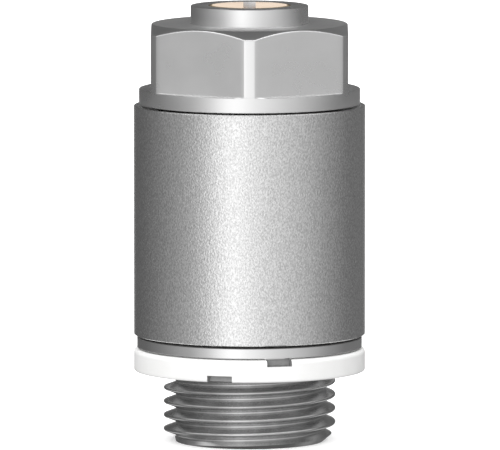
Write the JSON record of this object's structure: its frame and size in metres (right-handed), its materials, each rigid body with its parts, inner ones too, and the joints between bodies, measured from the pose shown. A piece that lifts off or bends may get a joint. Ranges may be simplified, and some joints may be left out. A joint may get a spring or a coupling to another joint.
{
  "type": "one-way flow control valve",
  "caption": "Hollow-bolt one-way flow control valve: hexagon bolt with a slotted needle screw, swivelling barrel with a side port, sprung check poppet, sealing ring and male pipe thread.",
  "frame": {"origin": "on the bolt's axis in the sealing plane, the underside of the sealing ring, where the male thread begins", "axes": "+Z along the bolt's axis from the thread to the hexagon and the regulating screw; +Y out of the side port"},
  "size_m": [0.0224, 0.0352, 0.0423],
  "materials": {
    "turned_aluminium": "satin",
    "plated_zinc": "matte",
    "white_plastic": "satin",
    "black_rubber": "matte",
    "brass": "satin",
    "grey_plastic": "matte",
    "spring_steel": "satin"
  },
  "bodies": {
    "bolt": {"hollow_bolt": "turned_aluminium", "sealing_ring": "white_plastic", "support_collar": "turned_aluminium", "upper_stem_seal": "black_rubber", "lower_stem_seal": "black_rubber", "valve_seat": "brass", "check_spring": "spring_steel", "spring_retainer": "brass", "snap_ring": "spring_steel"},
    "barrel": {"swivel_body": "plated_zinc"},
    "screw_ring": {"screw_seal": "black_rubber"},
    "screw": {"regulating_screw": "brass"},
    "poppet": {"check_poppet": "grey_plastic", "poppet_seal": "black_rubber"}
  },
  "joints": [
    {"name": "swivel_turn", "type": "hinge", "parent": "bolt", "child": "barrel", "pos_m": [0, 0, 0.01463], "axis": [0, 0, 1], "continuous": true},
    {"name": "needle_travel", "type": "slide", "parent": "bolt", "child": "screw_ring", "axis": [0, 0, 1], "range_m": [0, 0.0045]},
    {"name": "screw_turn", "type": "hinge", "parent": "screw_ring", "child": "screw", "pos_m": [0, 0, 0.03543], "axis": [0, 0, 1], "range_deg": [0, 2160]},
    {"name": "check_travel", "type": "slide", "parent": "bolt", "child": "poppet", "axis": [0, 0, -1], "range_m": [0, 0.0012], "stiffness_N_per_m": 600, "springref_m": -0.0017, "deforming": ["check_spring"]}
  ],
  "couplings": [
    {"joint": "screw_turn", "follows": "needle_travel", "rad_per_m": 8377.6}
  ]
}
